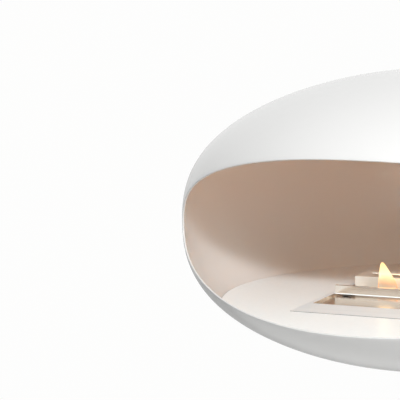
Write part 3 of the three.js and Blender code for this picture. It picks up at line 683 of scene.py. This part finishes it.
# Snuffer lid: a cap folded from brushed sheet, open below, with rounded upright corners. It
# slides forward over the slot and smothers the flames.
lid_steel, lid_steel_shader = start_finish("lid_steel", (0.85, 0.8, 0.73), 0.75, 0.3)
add_effect(lid_steel, brushed, {
    "Grain": (5, 500, 500),
    "Dark": (0.84, 0.775, 0.7, 1),
    "Light": (0.94, 0.875, 0.8, 1),
    "Smooth": 0.24,
    "Rough": 0.38,
})


def round_uprights(mesh, radius, segments):
    """Rounds the four upright corners of a block."""
    uprights = [
        edge for edge in mesh.edges
        if abs(edge.verts[0].co.z - edge.verts[1].co.z) > 0.001
    ]
    bmesh.ops.bevel(
        mesh, geom=uprights, offset=radius, segments=segments, profile=0.5,
        affect="EDGES", material=-1,
    )


lid_corner = 0.003
lid_sheet = 0.0015
lid_mesh = block(*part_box("snuffer_lid"))
round_uprights(lid_mesh, lid_corner, 6)
lid_bottom = [face for face in lid_mesh.faces if face.normal.z < -0.9]
bmesh.ops.delete(lid_mesh, geom=lid_bottom, context="FACES_ONLY")
lid = finished("folded_lid", lid_mesh, lid_steel)
thicken(lid, lid_sheet)
ease_edges(lid, 0.0007)
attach(lid, "lid")
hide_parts("snuffer_lid")


# Lid handle: a flat stainless strip with rounded ends, raised on two turned posts, so that the
# lid can be pushed with the fire hook.
handle_corner = 0.006
handle_mesh = block(*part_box("lid_handle"))
round_uprights(handle_mesh, handle_corner, 8)
handle = finished("handle_strip", handle_mesh, lid_steel)
ease_edges(handle, 0.0006)
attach(handle, "lid")
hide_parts("lid_handle")
for side in ("left", "right"):
    post_low, post_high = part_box(f"handle_post_{side}")
    post_mesh = bmesh.new()
    post_radius = (post_high.x - post_low.x) / 2
    bmesh.ops.create_cone(
        post_mesh, cap_ends=True, segments=40, radius1=post_radius, radius2=post_radius,
        depth=post_high.z - post_low.z, matrix=Matrix.Translation((post_low + post_high) / 2),
    )
    post = finished(f"turned_post_{side}", post_mesh, turned_steel)
    ease_edges(post, 0.0004)
    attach(post, "lid")
    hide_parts(f"handle_post_{side}")


# Flames: alcohol burning in tongues along the slot. Each is a thin hollow sheet of fire, clear
# and orange low down, and yellow-white where it thickens towards the tip.
flame, flame_shader = start_finish("flame", (0, 0, 0), 0, 1)
flame_shader.inputs["Emission Strength"].default_value = 1.6
flame_shader.inputs["Specular IOR Level"].default_value = 0
fire = flame.node_tree
flame_foot = pod_z - 0.1432
flame_reach = 0.061
flame_place = add_node(fire, "ShaderNodeTexCoord")
flame_rise = add_node(fire, "ShaderNodeSeparateXYZ")
flame_height = add_node(fire, "ShaderNodeMapRange", {
    "From Min": flame_foot,
    "From Max": flame_foot + flame_reach,
})
flame_colour = add_node(fire, "ShaderNodeValToRGB")
flame_ramp = flame_colour.color_ramp.elements
flame_ramp[0].position = 0
flame_ramp[0].color = (0.9, 0.28, 0.08, 1)
flame_ramp[1].position = 0.62
flame_ramp[1].color = (1, 0.86, 0.5, 1)
flame_ramp.new(0.35).color = (1, 0.44, 0.15, 1)
flame_ramp.new(1).color = (1, 0.66, 0.26, 1)
# Glossy rays see the flames 2.4 times as bright as other rays do: a painted boost of the flames'
# reflections in the lacquer and steel.
flame_ray = add_node(fire, "ShaderNodeLightPath")
flame_mirrored = add_node(fire, "ShaderNodeMapRange", {"To Min": 1, "To Max": 2.4})
flame_light = add_node(fire, "ShaderNodeVectorMath")
flame_light.operation = "SCALE"
flame_body = add_node(fire, "ShaderNodeMapRange", {
    "From Min": 0.28, "From Max": 0.72, "To Min": 0.05, "To Max": 0.85,
})
flame_edge = add_node(fire, "ShaderNodeLayerWeight", {"Blend": 0.55})
flame_rim = add_node(fire, "ShaderNodeMapRange", {
    "From Min": 0.42, "From Max": 0.75, "To Min": 0.05, "To Max": 0.8,
})
flame_thick = add_node(fire, "ShaderNodeMath")
flame_thick.operation = "MAXIMUM"
flame_start = add_node(fire, "ShaderNodeMapRange", {"From Max": 0.22})
flame_solid = add_node(fire, "ShaderNodeMath")
flame_solid.operation = "MULTIPLY"
join(
    fire,
    (flame_place.outputs["Object"], flame_rise.inputs["Vector"]),
    (flame_rise.outputs["Z"], flame_height.inputs["Value"]),
    (flame_height.outputs["Result"], flame_colour.inputs["Fac"]),
    (flame_ray.outputs["Is Glossy Ray"], flame_mirrored.inputs["Value"]),
    (flame_colour.outputs["Color"], flame_light.inputs[0]),
    (flame_mirrored.outputs["Result"], flame_light.inputs["Scale"]),
    (flame_light.outputs["Vector"], flame_shader.inputs["Emission Color"]),
    (flame_height.outputs["Result"], flame_body.inputs["Value"]),
    (flame_edge.outputs["Facing"], flame_rim.inputs["Value"]),
    (flame_body.outputs["Result"], flame_thick.inputs[0]),
    (flame_rim.outputs["Result"], flame_thick.inputs[1]),
    (flame_height.outputs["Result"], flame_start.inputs["Value"]),
    (flame_thick.outputs["Value"], flame_solid.inputs[0]),
    (flame_start.outputs["Result"], flame_solid.inputs[1]),
    (flame_solid.outputs["Value"], flame_shader.inputs["Alpha"]),
)

flame_line = -0.048
flame_half_depth = 0.012
# Shares of a tongue's height, of its lean, of its width and of its depth, from foot to tip.
flame_shape = (
    (0, 0, 0.92, 0.7),
    (0.12, 0, 1, 0.8),
    (0.28, 0, 1, 0.8),
    (0.51, 0.25, 0.8, 0.72),
    (0.7, 0.57, 0.54, 0.56),
    (0.85, 0.81, 0.36, 0.4),
    (0.95, 0.95, 0.22, 0.26),
    (1, 1, 0.08, 0.1),
)
# Each tongue: where it stands on the slot, its height, its width and how far its tip leans.
for number, (across, height, half_width, lean) in enumerate((
    (-0.0655, 0.061, 0.0195, -0.0105),
    (-0.022, 0.048, 0.017, 0.006),
    (0.015, 0.066, 0.02, 0.009),
    (0.052, 0.044, 0.016, -0.006),
    (0.083, 0.052, 0.0145, 0.005),
), start=1):
    flame_mesh = bmesh.new()
    below = None
    for rise, drift, width, depth in flame_shape:
        centre = (across + lean * drift, flame_line, flame_foot + height * rise)
        spread = (half_width * width, flame_half_depth * depth, 1, 1)
        ring = bmesh.ops.create_circle(
            flame_mesh, cap_ends=False, radius=1, segments=28,
            matrix=Matrix.Translation(centre) @ Matrix.Diagonal(spread),
        )
        edges = list({edge for point in ring["verts"] for edge in point.link_edges})
        if below:
            bmesh.ops.bridge_loops(flame_mesh, edges=below + edges)
        below = edges
    bmesh.ops.holes_fill(flame_mesh, edges=flame_mesh.edges[:], sides=0)
    bmesh.ops.recalc_face_normals(flame_mesh, faces=flame_mesh.faces)
    tongue = finished(f"flame_{number}", flame_mesh, flame)
    tongue_round = tongue.modifiers.new("round", "SUBSURF")
    tongue_round.levels = 2
    tongue_round.render_levels = 2
    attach(tongue, "pod")
    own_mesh(tongue)


# Studio: a pale floor well below the pod, which can't be seen from below, a backdrop that the
# camera and the metal see as white, and soft lamps in front and to the right. The flames' own
# glow comes from two small lamps. One strip lights only the pieces on the hearth.
floor_drop = 2.35
floor_mesh = bmesh.new()
bmesh.ops.create_circle(
    floor_mesh, cap_ends=True, radius=2, segments=96,
    matrix=Matrix.Translation((0, 0, -floor_drop)),
)
floor_white, floor_shader = start_finish("floor_white", (0.9, 0.9, 0.89), 0, 0.6)
add_effect(floor_white, cloudy, {
    "Dark": (0.89, 0.89, 0.88, 1),
    "Light": (0.91, 0.91, 0.9, 1),
    "Size": 8,
    "Smooth": 0.55,
    "Rough": 0.65,
})
floor_face = add_node(floor_white.node_tree, "ShaderNodeNewGeometry")
floor_side = add_node(floor_white.node_tree, "ShaderNodeMapRange", {"To Min": 1, "To Max": 0})
join(
    floor_white.node_tree,
    (floor_face.outputs["Backfacing"], floor_side.inputs["Value"]),
    (floor_side.outputs["Result"], floor_shader.inputs["Alpha"]),
)
floor = finished("floor", floor_mesh, floor_white)

# Each lamp: its place and aim from the pod's middle, its width and depth, power and colour.
white = (1, 1, 1)
for name, at, aim, width, depth, power, colour in (
    ("front_strip", (0.3, -2.6, 1.4), (0.06, 0, 0), 0.6, 0.2, 21, white),
    ("hearth_strip", (0.3, -2.6, 1.48), (0, 0, -0.14), 0.6, 0.2, 61, (0.72, 0.93, 1)),
    ("right_strip", (2.1, -2.6, 1.4), (0.42, 0, 0), 0.6, 0.2, 51, white),
    ("right_box", (2.65, -1.24, 0.675), (0, 0, 0), 0.6, 0.6, 25, white),
    ("floor_fill", (0, -0.6, -1.28), (0, 0, 0), 2, 2, 2.1, white),
    ("flame_glow", (0, -0.02, -0.1), (0, -0.02, 1), 0.3, 0.04, 0.66, (1, 0.3, 0.01)),
):
    lamp_data = bpy.data.lights.new(name, "AREA")
    lamp_data.shape = "RECTANGLE"
    lamp_data.size = width
    lamp_data.size_y = depth
    lamp_data.energy = power
    lamp_data.color = colour
    lamp = bpy.data.objects.new(name, lamp_data)
    lamp.location = Vector(at) + Vector((0, 0, pod_z))
    lamp.rotation_mode = "QUATERNION"
    lamp.rotation_quaternion = (Vector(at) - Vector(aim)).to_track_quat("Z", "Y")
    lamp.visible_camera = False
    lamp.visible_glossy = name != "flame_glow"
    bpy.context.scene.collection.objects.link(lamp)
hearth_pieces = bpy.data.collections.new("hearth_pieces")
for name in (
    "enamelled_deck", "folded_tray", "folded_bar", "burner_plate", "folded_lid", "handle_strip",
    "ground_rail_left", "ground_rail_right", "turned_post_left", "turned_post_right",
):
    hearth_pieces.objects.link(bpy.data.objects[name])
bpy.data.objects["hearth_strip"].light_linking.receiver_collection = hearth_pieces
core_data = bpy.data.lights.new("flame_core", "POINT")
core_data.energy = 0.26
core_data.color = (1, 0.8, 0.42)
core_data.shadow_soft_size = 0.05
core = bpy.data.objects.new("flame_core", core_data)
core.location = (0, -0.046, pod_z - 0.1)
core.visible_camera = False
core.visible_glossy = False
bpy.context.scene.collection.objects.link(core)

world = bpy.data.worlds.new("studio")
world.use_nodes = True
bpy.context.scene.world = world
sky = world.node_tree
sky_way = add_node(sky, "ShaderNodeTexCoord").outputs["Generated"]
sky_above = add_node(sky, "ShaderNodeVectorMath", {1: (-0.26, 0, 0.86)})
sky_above.operation = "DOT_PRODUCT"
sky_glow = add_node(sky, "ShaderNodeMath", {1: 0})
sky_light = sky.nodes["Background"]
sky_light.inputs["Color"].default_value = (1, 1, 1, 1)
sky_ray = add_node(sky, "ShaderNodeLightPath")
sky_direct = add_node(sky, "ShaderNodeMath")
sky_plain = add_node(sky, "ShaderNodeMath")
sky_height = add_node(sky, "ShaderNodeSeparateXYZ")
sky_horizon = add_node(sky, "ShaderNodeMapRange", {
    "From Min": -0.35, "From Max": 0.05, "To Min": 0.4,
})
sky_bright = add_node(sky, "ShaderNodeMath")
for larger in (sky_glow, sky_direct, sky_plain, sky_bright):
    larger.operation = "MAXIMUM"
sky_seen = add_node(sky, "ShaderNodeBackground", {"Color": (0.985, 0.985, 0.98, 1)})
sky_mix = add_node(sky, "ShaderNodeMixShader")
join(
    sky,
    (sky_way, sky_above.inputs[0]),
    (sky_above.outputs["Value"], sky_glow.inputs[0]),
    (sky_glow.outputs["Value"], sky_light.inputs["Strength"]),
    (sky_ray.outputs["Is Camera Ray"], sky_direct.inputs[0]),
    (sky_ray.outputs["Is Transmission Ray"], sky_direct.inputs[1]),
    (sky_direct.outputs["Value"], sky_plain.inputs[0]),
    (sky_ray.outputs["Is Glossy Ray"], sky_plain.inputs[1]),
    (sky_plain.outputs["Value"], sky_mix.inputs["Fac"]),
    (sky_way, sky_height.inputs["Vector"]),
    (sky_height.outputs["Z"], sky_horizon.inputs["Value"]),
    (sky_direct.outputs["Value"], sky_bright.inputs[0]),
    (sky_horizon.outputs["Result"], sky_bright.inputs[1]),
    (sky_bright.outputs["Value"], sky_seen.inputs["Strength"]),
    (sky_light.outputs["Background"], sky_mix.inputs[1]),
    (sky_seen.outputs["Background"], sky_mix.inputs[2]),
    (sky_mix.outputs["Shader"], sky.nodes["World Output"].inputs["Surface"]),
)


# Camera: the photo's, a long lens above the pod's top that looks a little down, from the right
# of its mouth.
camera_data = bpy.data.cameras.new("camera")
camera_data.sensor_width = 36
camera_data.lens = 180
camera_data.clip_end = 100
camera = bpy.data.objects.new("camera", camera_data)
bpy.context.scene.collection.objects.link(camera)
camera.matrix_world = Matrix((
    (0.89993, -0.04297, 0.43392, 1.2479),
    (0.43575, 0.12525, -0.89131, -3.5497),
    (-0.01605, 0.99119, 0.13144, pod_z + 0.5362),
    (0, 0, 0, 1),
))
bpy.context.scene.camera = camera
bpy.context.scene.view_settings.view_transform = "Standard"
